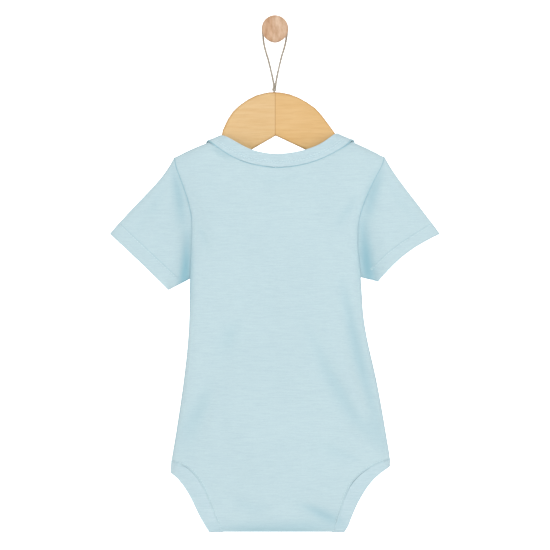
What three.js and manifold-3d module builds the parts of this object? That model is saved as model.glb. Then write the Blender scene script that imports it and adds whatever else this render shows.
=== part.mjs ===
// A baby's short-sleeved bodysuit that hangs on a wooden hanger, whose twine loop goes over a wooden wall peg.
// Millimetres, +Z up. The origin is the centre of the peg's flat back face, which lies on the wall plane y = 0.
// -Y points away from the wall, towards a viewer, who sees the garment's back panel. +X is that viewer's right.
// The cloth is built as thin closed walls over one shell: a flattened tube that closes over the shoulder ridge.

import * as THREE from "three";
import { mergeVertices } from "three/addons/utils/BufferGeometryUtils.js";
import Module from "manifold-3d";

const wasm = await Module();
wasm.setup();

// Cloth walls and the gaps between sewn pieces
const CLOTH = 1.2;
const BAND = 2.2;
const BAND_PROUD = 0.5;
const SEAM_GAP = 0.3;
const ARMHOLE_GAP = 0.7;
const UNDERARM_GAP = 1.12;
const UNDERARM_LIFT = 0.7;
const HEM_PROUD = 0.35;

// Places of the whole: the garment's middle plane in front of the wall, and the lowest and armhole heights
const MIDDLE_Y = -30;
const BOTTOM_Z = -502.5;
const FOLD_RADIUS = 7;
const RIDGE_RADIUS = 10;
const SIDE_SEAM_HALF_GAP = 0.18;
const TUCK_REACH = 5;

// Crotch: the back flap goes under the front tab, and snaps close them
const FLAP_TOP_Z = -478;
const TAB_END_Z = -497;
const FLAP_INSET = 3;
const FOLD_NARROWS = 0.055;
const SNAP_CENTRE_X = 2.5;
const SNAP_Z = -487.5;
const SNAP_SPACING = 34;
const SNAP_RADIUS = 4.8;
const SNAP_POST_RADIUS = 1.5;
const SNAP_HEIGHT = 1.5;
const SNAP_EASE = 0.25;

// The lapped shoulders: the front panel lies this far inside the back panel's flap
const LAP_INSET = 2.8;
const LAP_BLEND = { top: -174, bottom: -198 };

// How far the back neck band stands up where it rolls over the ridge
const BAND_ROLL = 1.8;
const BAND_ROLL_REACH = 4;

// Peg, twine and hanger
const PEG = { neck: 11, head: 13.3, length: 46, headLength: 11, round: 3 };
const TWINE_RADIUS = 1;
const TWINE = {
  left: [
    { x: -0.9, z: -59, forward: -0.8 },
    { x: -2.2, z: -49.4, forward: -0.5 },
    { x: -6.4, z: -31.5, forward: 0 },
    { x: -9.1, z: -22.5, forward: 0 },
    { x: -11.4, z: -12.5, forward: 0 },
  ],
  right: [
    { x: 11.1, z: -10.5, forward: 0 },
    { x: 9.2, z: -18.8, forward: 0 },
    { x: 6.6, z: -27.2, forward: 0 },
    { x: 1.9, z: -47.5, forward: 0.5 },
    { x: 0.2, z: -59, forward: 0.8 },
  ],
  knotX: -0.7,
  knotZ: -59.9,
  knotRadius: 2.4,
};
const HANGER = { thickness: 8, round: 2.6, notchZ: -106.2, centreX: 0.7, hole: 14 };

// The hanger's outline: the dome seen inside the neck, the arms' tops along the shoulders, and their ends
const HANGER_DOME = [
  { x: -52.9, z: -110 },
  { x: -53.1, z: -103 },
  { x: -45.4, z: -86.7 },
  { x: -35.9, z: -76.2 },
  { x: -21.5, z: -67 },
  { x: -9.1, z: -63.4 },
  { x: -0.5, z: -62.6 },
  { x: 12, z: -64 },
  { x: 26.3, z: -69.5 },
  { x: 40.7, z: -79.1 },
  { x: 50.3, z: -90.5 },
  { x: 60.8, z: -105 },
  { x: 61.6, z: -108 },
];
const HANGER_TOP = [
  { x: -79, below: 5 },
  { x: -72, below: 3.6 },
  { x: -65, below: 3 },
  { x: -57, below: 3 },
  { x: 65, below: 3 },
  { x: 71, below: 3.6 },
  { x: 77, below: 5.4 },
  { x: 83, below: 8 },
];
const HANGER_END = {
  right: [
    { x: 87, z: -128 },
    { x: 88.5, z: -134 },
    { x: 86, z: -140 },
    { x: 78, z: -142.5 },
  ],
  left: [
    { x: -72, z: -148.2 },
    { x: -81, z: -145 },
    { x: -84.5, z: -137 },
    { x: -83, z: -128 },
  ],
};

// The flattened tube's sections: its side lines, its half depths, how square its sides are, and how deep the
// fold under each arm tucks in. Above the armholes and in the leg openings the cloth is cut inside these sides.
const SECTIONS = [
  { z: -510, left: -87, right: 92, back: 7.5, front: 7.5, square: 2.4, tuck: 0 },
  { z: -495, left: -91, right: 96, back: 9.5, front: 9, square: 2.4, tuck: 0 },
  { z: -475, left: -97, right: 102, back: 13, front: 12, square: 2.4, tuck: 0 },
  { z: -455, left: -102, right: 109, back: 15.5, front: 14, square: 2.4, tuck: 0 },
  { z: -443, left: -104.3, right: 114, back: 16.5, front: 14.5, square: 2.4, tuck: 0 },
  { z: -431, left: -103.5, right: 115, back: 17, front: 15, square: 2.5, tuck: 0 },
  { z: -410, left: -100, right: 112, back: 17.5, front: 15.5, square: 2.6, tuck: 0 },
  { z: -380, left: -95.5, right: 107, back: 18, front: 16, square: 2.6, tuck: 0 },
  { z: -350, left: -91, right: 101.5, back: 18, front: 16, square: 2.7, tuck: 0 },
  { z: -320, left: -88.8, right: 95.5, back: 18, front: 16, square: 2.8, tuck: 1 },
  { z: -290, left: -88, right: 91, back: 17.5, front: 15.5, square: 3, tuck: 4 },
  { z: -265, left: -88.3, right: 89.6, back: 17, front: 15, square: 3.2, tuck: 8 },
  { z: -240, left: -88, right: 88.6, back: 16.5, front: 15, square: 3.2, tuck: 10 },
  { z: -215, left: -87, right: 86, back: 16, front: 14.5, square: 3.2, tuck: 10 },
  { z: -195, left: -86.2, right: 86.8, back: 15.3, front: 14, square: 3.2, tuck: 9 },
  { z: -180, left: -87.4, right: 89.4, back: 14.5, front: 13.5, square: 3.2, tuck: 6 },
  { z: -163, left: -93.2, right: 97, back: 13.3, front: 12.6, square: 3.2, tuck: 0 },
  { z: -148, left: -99, right: 104.4, back: 12.2, front: 11.8, square: 3.2, tuck: 0 },
  { z: -135, left: -103, right: 110.6, back: 11.3, front: 11.2, square: 3.2, tuck: 0 },
  { z: -127, left: -104, right: 113, back: 10.8, front: 10.8, square: 3.2, tuck: 0 },
  { z: -90, left: -112, right: 121, back: 10, front: 10, square: 3.2, tuck: 0 },
];

// Half depth of the armhole seam, which closes at the underarm, where the side seam starts
const ARMHOLE = [
  { z: -600, depth: SIDE_SEAM_HALF_GAP },
  { z: -247, depth: SIDE_SEAM_HALF_GAP },
  { z: -245.3, depth: 2.7 },
  { z: -241, depth: 3.5 },
  { z: -235, depth: 3.6 },
  { z: -212, depth: 3.6 },
  { z: -200, depth: 3.8 },
  { z: -190, depth: 5 },
  { z: -178, depth: 6.6 },
  { z: -163, depth: 7 },
  { z: -148, depth: 6.4 },
  { z: -135, depth: 5.6 },
  { z: -120, depth: 5.2 },
  { z: -90, depth: 5 },
];

// The line over the shoulders. Between the neck corners no cloth reaches it.
const RIDGE = [
  { x: -125, z: -142 },
  { x: -98, z: -126.6 },
  { x: -87, z: -120.9 },
  { x: -75, z: -115.4 },
  { x: -66, z: -111.7 },
  { x: -58, z: -108.6 },
  { x: -50, z: -105.3 },
  { x: -30, z: -98 },
  { x: 0, z: -92 },
  { x: 30, z: -95.5 },
  { x: 50, z: -100.4 },
  { x: 62, z: -104.7 },
  { x: 70, z: -107.9 },
  { x: 78, z: -111.5 },
  { x: 86, z: -115.2 },
  { x: 94, z: -119 },
  { x: 109, z: -127.2 },
  { x: 132, z: -142 },
];

// The back panel's neck seam and its band's free edge, from the left armhole's front, over the left shoulder,
// round the back of the neck and down to the right armhole's front. Face 0 is a point on the ridge itself.
const BACK_NECK = [
  { face: 1, seamX: -89.6, seamZ: -158.9, edgeFace: 1, edgeX: -85.6, edgeZ: -171.5 },
  { face: 1, seamX: -83, seamZ: -145.5, edgeFace: 1, edgeX: -73, edgeZ: -154.5 },
  { face: 1, seamX: -76.5, seamZ: -133, edgeFace: 1, edgeX: -65, edgeZ: -139 },
  { face: 1, seamX: -70.5, seamZ: -120.5, edgeFace: 1, edgeX: -58.5, edgeZ: -122.5 },
  { face: -1, seamX: -64, seamZ: -112.7, edgeFace: 0, edgeX: -55.4, edgeZ: -107 },
  { face: -1, seamX: -53.2, seamZ: -120.4, edgeFace: -1, edgeX: -47.1, edgeZ: -108.1 },
  { face: -1, seamX: -41.7, seamZ: -127.6, edgeFace: -1, edgeX: -36.5, edgeZ: -113.9 },
  { face: -1, seamX: -25, seamZ: -134.4, edgeFace: -1, edgeX: -21.5, edgeZ: -121.4 },
  { face: -1, seamX: 0, seamZ: -138.3, edgeFace: -1, edgeX: 0, edgeZ: -125.2 },
  { face: -1, seamX: 25, seamZ: -135.8, edgeFace: -1, edgeX: 22.5, edgeZ: -122.5 },
  { face: -1, seamX: 45, seamZ: -129.8, edgeFace: -1, edgeX: 39.5, edgeZ: -117.5 },
  { face: -1, seamX: 60.7, seamZ: -121.9, edgeFace: -1, edgeX: 52.5, edgeZ: -110 },
  { face: -1, seamX: 73, seamZ: -113.8, edgeFace: 0, edgeX: 62.2, edgeZ: -105 },
  { face: 1, seamX: 81.4, seamZ: -120, edgeFace: 1, edgeX: 67, edgeZ: -121 },
  { face: 1, seamX: 86.5, seamZ: -133, edgeFace: 1, edgeX: 73.5, edgeZ: -137 },
  { face: 1, seamX: 91.5, seamZ: -146, edgeFace: 1, edgeX: 81, edgeZ: -153 },
  { face: 1, seamX: 93.2, seamZ: -158.9, edgeFace: 1, edgeX: 88.6, edgeZ: -171.5 },
];

// The front panel's neck seam and its band's free edge, from right to left. Both ends lie under the flaps.
const FRONT_NECK = [
  { face: 1, seamX: 101.6, seamZ: -146.9, edgeFace: 1, edgeX: 103.2, edgeZ: -137 },
  { face: 1, seamX: 92, seamZ: -144.5, edgeFace: 1, edgeX: 92, edgeZ: -132.5 },
  { face: 1, seamX: 81, seamZ: -144.5, edgeFace: 1, edgeX: 79, edgeZ: -131.5 },
  { face: 1, seamX: 70, seamZ: -148.5, edgeFace: 1, edgeX: 65, edgeZ: -136.5 },
  { face: 1, seamX: 58, seamZ: -156, edgeFace: 1, edgeX: 52, edgeZ: -145 },
  { face: 1, seamX: 42, seamZ: -163.5, edgeFace: 1, edgeX: 38, edgeZ: -151.5 },
  { face: 1, seamX: 23, seamZ: -168.5, edgeFace: 1, edgeX: 21, edgeZ: -155.5 },
  { face: 1, seamX: 3, seamZ: -170, edgeFace: 1, edgeX: 3, edgeZ: -157 },
  { face: 1, seamX: -17, seamZ: -168.5, edgeFace: 1, edgeX: -15, edgeZ: -155.5 },
  { face: 1, seamX: -36, seamZ: -163.5, edgeFace: 1, edgeX: -31.5, edgeZ: -151.5 },
  { face: 1, seamX: -51, seamZ: -156, edgeFace: 1, edgeX: -45, edgeZ: -145 },
  { face: 1, seamX: -63, seamZ: -148.5, edgeFace: 1, edgeX: -58, edgeZ: -136.5 },
  { face: 1, seamX: -74, seamZ: -144.5, edgeFace: 1, edgeX: -72, edgeZ: -131.5 },
  { face: 1, seamX: -85, seamZ: -144.5, edgeFace: 1, edgeX: -85, edgeZ: -132.5 },
  { face: 1, seamX: -94.8, seamZ: -146.9, edgeFace: 1, edgeX: -96, edgeZ: -137 },
];

// Leg openings: the binding's seam and free edge, from the side seam's corner down to the crotch fold
const LEG = {
  left: [
    { seamX: -103.4, seamZ: -431.5, edgeX: -104.2, edgeZ: -443 },
    { seamX: -97.5, seamZ: -433.6, edgeX: -101.5, edgeZ: -445 },
    { seamX: -89.3, seamZ: -436, edgeX: -96.5, edgeZ: -449 },
    { seamX: -80.4, seamZ: -443.5, edgeX: -91, edgeZ: -456 },
    { seamX: -73, seamZ: -454, edgeX: -86, edgeZ: -463.5 },
    { seamX: -67.5, seamZ: -466, edgeX: -80.5, edgeZ: -474.5 },
    { seamX: -62.5, seamZ: -479, edgeX: -75.5, edgeZ: -486 },
    { seamX: -56, seamZ: -495.5, edgeX: -69.5, edgeZ: -496 },
  ],
  right: [
    { seamX: 114.8, seamZ: -429.5, edgeX: 115.6, edgeZ: -436.5 },
    { seamX: 109, seamZ: -431.4, edgeX: 112.5, edgeZ: -438.5 },
    { seamX: 101, seamZ: -434, edgeX: 106.5, edgeZ: -442 },
    { seamX: 89, seamZ: -440.5, edgeX: 96.5, edgeZ: -450.5 },
    { seamX: 78, seamZ: -450.5, edgeX: 87.5, edgeZ: -463.5 },
    { seamX: 71, seamZ: -463, edgeX: 81, edgeZ: -476 },
    { seamX: 66, seamZ: -478, edgeX: 76.5, edgeZ: -487 },
    { seamX: 61, seamZ: -495.5, edgeX: 73.3, edgeZ: -496 },
  ],
};

// Soft folds of the hanging cloth: a line from one end to the other, how far it spreads, and how far it stands
// out (or in, below zero). face -1 is the back panel and 1 the front panel.
const FOLDS = [
  { face: -1, x0: 62, z0: -250, x1: 93, z1: -385, spread: 8, height: -2.6 },
  { face: -1, x0: 38, z0: -310, x1: 100, z1: -425, spread: 9, height: -2.8 },
  { face: -1, x0: 56, z0: -290, x1: 92, z1: -398, spread: 7, height: 1.4 },
  { face: -1, x0: -40, z0: -310, x1: -92, z1: -425, spread: 12, height: -2.4 },
  { face: -1, x0: 14, z0: -468, x1: 54, z1: -486, spread: 7, height: -2 },
  { face: -1, x0: 30, z0: -452, x1: 66, z1: -462, spread: 9, height: 1.2 },
  { face: 1, x0: -50, z0: -265, x1: -90, z1: -400, spread: 9, height: -2.4 },
  { face: 1, x0: 44, z0: -300, x1: 98, z1: -420, spread: 10, height: -2.4 },
];

// Above this height the sleeve's wall starts square to the shoulder's cloth.
const SHOULDER_END_Z = -150;

// Each sleeve: the top and bottom corners of its cuff, and how far its upper edge and its cuff curve in
const SLEEVE = {
  left: { topX: -165.2, topZ: -204.3, lowX: -106.4, lowZ: -260.7, bow: 3.2, cuffHollow: 0.3 },
  right: { topX: 164.9, topZ: -204.4, lowX: 102.9, lowZ: -252.3, bow: 1.6, cuffHollow: 2.8 },
};
const SLEEVE_DEPTH = 8.5;
const SLEEVE_SQUARE = 2.5;
const SLEEVE_OPENS_BY = 0.55;

// Resolution of the walls
const SHOULDER_ROWS = [0, 1, 2, 2.7, 3.2, 3.5, 3.8, 4.2];
const NECK_COLUMNS = 12;
const COLUMNS = 2 * (SHOULDER_ROWS.length - 1) + NECK_COLUMNS;
const BAND_ACROSS = 2;

// Heights of the armhole's stations from the shoulder to the underarm, closer together at its top and bottom
const STATIONS = [
  -127.5, -128.1, -129.8, -133, -138.4, -146.4, -158.4, -172, -187.3, -202, -217, -230.5, -240.5, -245.3, -247,
];
const CHEST_STATION = 8;
const FLAP_STATION = 6;
const FRONT_TOP_STATION = 5;
const SLEEVE_HALF_RING = STATIONS.length - 1;
const SLEEVE_SHARES = [0, 0.12, 0.26, 0.42, 0.58, 0.72, 0.825, 0.85, 1];
const HEM_STARTS = 0.83;

// Heights of the panels' rows between underarm and leg, and of the flap's rows; turns of the crotch fold
const SIDE_ROWS = [-262, -280, -300, -322, -345, -368, -390, -410, -424];
const FOLD_Z = BOTTOM_Z + FOLD_RADIUS;
const FLAP_ROWS = [FLAP_TOP_Z, -484, -490, FOLD_Z];
const FOLD_STEPS = 6;
const FOLD_TURNS = Array.from(
  { length: FOLD_STEPS - 1 },
  (_, i) => (Math.PI * (FOLD_STEPS - 1 - i)) / FOLD_STEPS,
);

const lerp = (a, b, t) => a + (b - a) * t;
const clamp = (t, low, high) => Math.min(high, Math.max(low, t));
const ease = (t) => clamp(t, 0, 1) ** 2 * (3 - 2 * clamp(t, 0, 1));

// A smooth curve through a table's rows that never overshoots them: one column as a function of another.
function column(rows, at, value) {
  const sorted = [...rows].sort((a, b) => a[at] - b[at]);
  const xs = sorted.map((row) => row[at]);
  const ys = sorted.map((row) => row[value]);
  const rise = xs.slice(1).map((x, i) => (ys[i + 1] - ys[i]) / (x - xs[i]));
  const slope = xs.map((_, i) => {
    const [a, b] = [rise[Math.max(i - 1, 0)], rise[Math.min(i, rise.length - 1)]];
    return a * b <= 0 ? 0 : (2 * a * b) / (a + b);
  });
  return (x) => {
    const t = clamp(x, xs[0], xs[xs.length - 1]);
    let i = 0;
    while (i < xs.length - 2 && t > xs[i + 1]) i++;
    const width = xs[i + 1] - xs[i];
    const u = (t - xs[i]) / width;
    const start = ys[i] * (1 + 2 * u) * (1 - u) ** 2 + slope[i] * width * u * (1 - u) ** 2;
    return start + ys[i + 1] * u * u * (3 - 2 * u) + slope[i + 1] * width * u * u * (u - 1);
  };
}

const sectionOf = Object.fromEntries(
  ["left", "right", "back", "front", "square", "tuck"].map((name) => [name, column(SECTIONS, "z", name)]),
);
const armholeDepth = column(ARMHOLE, "z", "depth");
const ridgeZ = column(RIDGE, "x", "z");

// Along the cloth from the ridge: an arch of RIDGE_RADIUS, then straight down. A drop is the height below the
// ridge.
const ARCH_SHORTENS = RIDGE_RADIUS * (Math.PI / 2 - 1);
function arcOfDrop(drop) {
  if (drop >= RIDGE_RADIUS) return drop + ARCH_SHORTENS;
  return RIDGE_RADIUS * Math.acos(1 - Math.max(drop, 0) / RIDGE_RADIUS);
}
function dropOfArc(arc) {
  const length = Math.abs(arc);
  if (length >= (RIDGE_RADIUS * Math.PI) / 2) return length - ARCH_SHORTENS;
  return RIDGE_RADIUS * (1 - Math.cos(length / RIDGE_RADIUS));
}

const facingDepth = (face, z) => (face < 0 ? sectionOf.back(z) : sectionOf.front(z));
const centreX = (z) => (sectionOf.left(z) + sectionOf.right(z)) / 2;
const halfWidth = (z) => (sectionOf.right(z) - sectionOf.left(z)) / 2;

// The share of the full depth at x, and the x at which the depth is a given share
function depthShare(x, z) {
  const n = sectionOf.square(z);
  const reach = Math.min(1, Math.abs(x - centreX(z)) / halfWidth(z));
  return (1 - reach ** n) ** (1 / n);
}
function xAtDepth(side, depth, face, z) {
  const n = sectionOf.square(z);
  const share = Math.min(1, depth / facingDepth(face, z));
  return centreX(z) + side * halfWidth(z) * (1 - share ** n) ** (1 / n);
}

function foldHeight(face, x, z) {
  let height = 0;
  for (const fold of FOLDS) {
    if (fold.face !== face) continue;
    const [dx, dz] = [fold.x1 - fold.x0, fold.z1 - fold.z0];
    const along = ((x - fold.x0) * dx + (z - fold.z0) * dz) / (dx * dx + dz * dz);
    const away = Math.abs((x - fold.x0) * dz - (z - fold.z0) * dx) / Math.hypot(dx, dz);
    const fades = Math.sin(Math.PI * clamp(along, 0, 1)) ** 0.7;
    height += fold.height * fades * Math.exp(-((away / fold.spread) ** 2));
  }
  return height;
}

// A point of the shell at x, and at an arc from the ridge: below zero on the back, above zero on the front.
function shellPoint(x, arc) {
  const face = arc < 0 ? -1 : 1;
  const z = ridgeZ(x) - dropOfArc(arc);
  const arch = Math.abs(arc) < (RIDGE_RADIUS * Math.PI) / 2 ? Math.sin(Math.abs(arc) / RIDGE_RADIUS) : 1;
  const share = depthShare(x, z);
  const depth = (facingDepth(face, z) * share + foldHeight(face, x, z) * ease(share * 1.2)) * arch;
  const tuck = sectionOf.tuck(z) * Math.exp(-((depth / TUCK_REACH) ** 2));
  const side = Math.sign(x - centreX(z));
  return new THREE.Vector3(x - side * tuck, MIDDLE_Y + face * depth, z);
}
const arcAt = (x, z, face) => face * arcOfDrop(ridgeZ(x) - z);

// A point of the shell that keeps the shell's outward normal there
function onShell(x, arc) {
  const point = shellPoint(x, arc);
  const step = 0.02;
  const across = shellPoint(x + step, arc).sub(shellPoint(x - step, arc));
  const over = shellPoint(x, arc + step).sub(shellPoint(x, arc - step));
  point.normal = across.cross(over).normalize();
  return point;
}
const faced = (x, z, face) => onShell(x, arcAt(x, z, face) || face * 1e-6);

// The bodies' outline angle: equal steps of it put more columns where the section turns round its sides.
function angleOf(x, z) {
  const reach = clamp((x - centreX(z)) / halfWidth(z), -1, 1);
  return Math.asin(Math.sign(reach) * Math.abs(reach) ** (sectionOf.square(z) / 2));
}
function xOfAngle(angle, z) {
  const s = Math.sin(angle);
  return centreX(z) + halfWidth(z) * Math.sign(s) * Math.abs(s) ** (2 / sectionOf.square(z));
}

const SIDES = { left: -1, right: 1 };

// A place is a point of the shell in its own terms: x and arc. This one lies on the armhole seam.
function armholePlace(name, face, station) {
  const z = STATIONS[station];
  const x = xAtDepth(SIDES[name], armholeDepth(z), face, z);
  return { x, arc: station === 0 ? 0 : arcAt(x, z, face) };
}

// A smooth line through one side of a band's table, as places
function neckLine(rows, side) {
  const names = { seam: ["face", "seamX", "seamZ"], edge: ["edgeFace", "edgeX", "edgeZ"] };
  const [faceName, xName, zName] = names[side];
  return new THREE.SplineCurve(
    rows.map((row) => new THREE.Vector2(row[xName], arcAt(row[xName], row[zName], row[faceName]))),
  );
}

// Places along a neck line at given shares of it, each moved square to the line by a distance
function placesOn(line, shares, distance) {
  return shares.map((share) => {
    const place = line.getPoint(share);
    const along = line.getTangent(clamp(share, 0.001, 0.999));
    return { x: place.x - along.y * distance, arc: place.y + along.x * distance };
  });
}

// Shares of its length at which a panel's columns meet its neck: closer together over the shoulders' ridge
const NECK_ROUND = BACK_NECK.length - 1 - 2 * SHOULDER_ROWS.at(-1);
const BACK_SHARES = Array.from({ length: COLUMNS + 1 }, (_, j) => {
  const fromEnd = SHOULDER_ROWS[Math.min(j, COLUMNS - j)];
  const middle = SHOULDER_ROWS.at(-1) + (NECK_ROUND * (j - SHOULDER_ROWS.length + 1)) / NECK_COLUMNS;
  const row = fromEnd === undefined ? middle : j < COLUMNS / 2 ? fromEnd : BACK_NECK.length - 1 - fromEnd;
  return row / (BACK_NECK.length - 1);
});
const FRONT_SHARES = Array.from({ length: COLUMNS + 1 }, (_, j) => j / COLUMNS);
const trimmed = (shares, by) => shares.map((share) => clamp(share, by, 1 - by));
const BACK_BAND_SHARES = trimmed(BACK_SHARES, 0.006);
const FRONT_BAND_SHARES = trimmed(FRONT_SHARES, 0.006);

// A panel's left or right edge below the chest, from the crotch up, as x and z
function lowerEdge(name, face) {
  const side = SIDES[name];
  const leg = LEG[name].map((row) => new THREE.Vector2(row.seamX, row.seamZ));
  const inset = leg.map((point, i) => {
    const along = leg[Math.min(i + 1, leg.length - 1)].clone().sub(leg[Math.max(i - 1, 0)]).normalize();
    return { x: point.x + side * along.y * SEAM_GAP, z: point.y - side * along.x * SEAM_GAP };
  });
  inset[0] = { x: inset[0].x, z: LEG[name][0].seamZ + SEAM_GAP };
  inset[0].x = xAtDepth(side, SIDE_SEAM_HALF_GAP, face, inset[0].z);
  const heights = [...SIDE_ROWS, ...STATIONS.slice(CHEST_STATION)].sort((a, b) => a - b);
  return inset.reverse().concat(heights.map((z) => ({ x: xAtDepth(side, armholeDepth(z), face, z), z })));
}

// Rows of a panel below the chest: between its two edges, the columns stand closer where the sides turn.
function lowerRows(face) {
  const [left, right] = [lowerEdge("left", face), lowerEdge("right", face)];
  return left.map((from, i) => {
    const to = right[i];
    const [start, stop] = [angleOf(from.x, from.z), angleOf(to.x, to.z)];
    return Array.from({ length: COLUMNS + 1 }, (_, j) => {
      const z = lerp(from.z, to.z, j / COLUMNS);
      return { x: xOfAngle(lerp(start, stop, j / COLUMNS), z), z };
    });
  });
}

// The part of a panel above the chest row: its left and right edges follow the armhole and its top the neck
// seam, and the places between are blended from all four.
function upperRows(chest, left, right, neck) {
  const last = left.length;
  const lengths = left.map((place, i) => Math.abs(place.arc - (i ? left[i - 1] : chest[0]).arc));
  const total = lengths.reduce((sum, length) => sum + length, 0);
  let reached = 0;
  return Array.from({ length: last }, (_, i) => {
    reached += lengths[i];
    const up = reached / total;
    return neck.map((top, j) => {
      const across = j / COLUMNS;
      const blend = (key) => {
        const fromLeft = left[i][key] - lerp(chest[0][key], neck[0][key], up);
        const fromRight = right[i][key] - lerp(chest[COLUMNS][key], neck[COLUMNS][key], up);
        return lerp(chest[j][key], top[key], up) + fromLeft * (1 - across) + fromRight * across;
      };
      return { x: blend("x"), arc: blend("arc") || 1e-6 };
    });
  });
}

// Unit normals of a grid: a point's own, or else on the side where columns by rows turn right-handed
function normalsOf(grid, ring) {
  const columns = grid[0].length;
  return grid.map((row, i) =>
    row.map((_, j) => {
      const [down, up] = [grid[Math.max(i - 1, 0)], grid[Math.min(i + 1, grid.length - 1)]];
      const before = ring ? (j + columns - 1) % columns : Math.max(j - 1, 0);
      const after = ring ? (j + 1) % columns : Math.min(j + 1, columns - 1);
      const across = row[after].clone().sub(row[before]);
      return row[j].normal ?? across.cross(up[j].clone().sub(down[j])).normalize();
    }),
  );
}

// A closed wall over a grid of points: its outer and inner faces lie at the given heights along the normals.
// Each four-sided face is split along its shorter diagonal, so that a turn over the ridge stays smooth.
function wall(grid, outer, inner, ring = false) {
  const normals = normalsOf(grid, ring);
  const [rows, columns] = [grid.length, grid[0].length];
  const points = [outer, inner].flatMap((height) =>
    grid.flatMap((row, i) => row.map((p, j) => p.clone().addScaledVector(normals[i][j], height(p, i, j)))),
  );
  const index = (layer, i, j) => layer * rows * columns + i * columns + (j % columns);
  const triangles = [];
  const quad = (a, b, c, d) => {
    const split = points[a].distanceTo(points[c]) <= points[b].distanceTo(points[d]);
    triangles.push(...(split ? [a, b, c, a, c, d] : [b, c, d, b, d, a]));
  };
  const steps = ring ? columns : columns - 1;
  for (let i = 0; i < rows - 1; i++) {
    for (let j = 0; j < steps; j++) {
      quad(index(0, i, j), index(0, i, j + 1), index(0, i + 1, j + 1), index(0, i + 1, j));
      quad(index(1, i, j), index(1, i + 1, j), index(1, i + 1, j + 1), index(1, i, j + 1));
    }
  }
  const top = rows - 1;
  for (let j = 0; j < steps; j++) {
    quad(index(0, 0, j), index(1, 0, j), index(1, 0, j + 1), index(0, 0, j + 1));
    quad(index(0, top, j), index(0, top, j + 1), index(1, top, j + 1), index(1, top, j));
  }
  for (let i = 0; i < top && !ring; i++) {
    quad(index(0, i, 0), index(0, i + 1, 0), index(1, i + 1, 0), index(1, i, 0));
    quad(index(0, i, steps), index(1, i, steps), index(1, i + 1, steps), index(0, i + 1, steps));
  }
  const geometry = new THREE.BufferGeometry().setFromPoints(points);
  geometry.setIndex(triangles);
  geometry.computeVertexNormals();
  return geometry;
}

// The crotch fold: from the back panel (turn 0) round the bottom to the flap on the front (turn pi)
function foldPoint(x, turn, z = FOLD_Z) {
  const narrowed = x * (1 - FOLD_NARROWS * Math.sin(turn));
  const [back, front] = [faced(narrowed, z, -1), faced(narrowed, z, 1)];
  const y = lerp(back.y, front.y - FLAP_INSET, (1 - Math.cos(turn)) / 2);
  return new THREE.Vector3(narrowed, y, z - FOLD_RADIUS * Math.sin(turn));
}

function backPanel() {
  const lower = lowerRows(-1);
  const foldX = lower[0].map((point) => point.x);
  const flap = FLAP_ROWS.map((z) => foldX.map((x) => foldPoint(x, Math.PI, z)));
  const fold = FOLD_TURNS.map((turn) => foldX.map((x) => foldPoint(x, turn)));
  const chest = lower.at(-1).map((point) => ({ x: point.x, arc: arcAt(point.x, point.z, -1) }));
  const edge = (name) => {
    const onBack = STATIONS.slice(0, CHEST_STATION).map((_, k) => armholePlace(name, -1, k));
    const onFront = Array.from({ length: FLAP_STATION }, (_, k) => armholePlace(name, 1, k + 1));
    return onBack.reverse().concat(onFront);
  };
  const [left, right] = [edge("left"), edge("right")];
  const neck = placesOn(neckLine(BACK_NECK, "seam"), BACK_SHARES, -SEAM_GAP);
  left[left.length - 1] = neck[0];
  right[right.length - 1] = neck[COLUMNS];
  const upper = upperRows(chest, left, right, neck);
  const grid = [
    ...flap,
    ...fold,
    ...lower.map((row) => row.map((point) => faced(point.x, point.z, -1))),
    ...upper.map((row) => row.map((place) => onShell(place.x, place.arc))),
  ];
  return punched(wall(grid, () => 0, () => -CLOTH));
}

// How far the front panel lies inside the shell: fully under the back panel's laps, and not at all lower down
const lapInset = (z) => LAP_INSET * ease((z - LAP_BLEND.bottom) / (LAP_BLEND.top - LAP_BLEND.bottom));

function frontPanel() {
  const lower = lowerRows(1).map((row) => row.reverse());
  const tab = lower[0].map((point) => faced(point.x, TAB_END_Z, 1));
  const chest = lower.at(-1).map((point) => ({ x: point.x, arc: arcAt(point.x, point.z, 1) }));
  const edge = (name) => {
    const stations = STATIONS.slice(FRONT_TOP_STATION, CHEST_STATION);
    return stations.map((_, k) => armholePlace(name, 1, k + FRONT_TOP_STATION)).reverse();
  };
  const [right, left] = [edge("right"), edge("left")];
  const neck = placesOn(neckLine(FRONT_NECK, "seam"), FRONT_SHARES, -SEAM_GAP);
  right[right.length - 1] = neck[0];
  left[left.length - 1] = neck[COLUMNS];
  const upper = upperRows(chest, right, left, neck);
  const grid = [
    tab,
    ...lower.map((row) => row.map((point) => faced(point.x, point.z, 1))),
    ...upper.map((row) => row.map((place) => onShell(place.x, place.arc))),
  ];
  return punched(wall(grid, (p) => -lapInset(p.z), (p) => -lapInset(p.z) - CLOTH));
}

// A neck band: rows across it from its seam to its free edge, columns along it
function neckBand(rows, shares, height) {
  const seam = placesOn(neckLine(rows, "seam"), shares, 0);
  const edge = placesOn(neckLine(rows, "edge"), shares, 0);
  const grid = Array.from({ length: BAND_ACROSS + 1 }, (_, i) =>
    seam.map((from, j) => {
      const [x, arc] = ["x", "arc"].map((key) => lerp(from[key], edge[j][key], i / BAND_ACROSS));
      return onShell(x, arc || 1e-6);
    }),
  );
  return wall(grid, (p) => height(p) + BAND_PROUD, (p) => height(p) + BAND_PROUD - BAND);
}

// The back band rolls up a little where it turns over the hanger.
function bandRoll(p) {
  const drop = ridgeZ(p.x) - p.z;
  return BAND_ROLL * Math.exp(-((drop / BAND_ROLL_REACH) ** 2));
}

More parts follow.
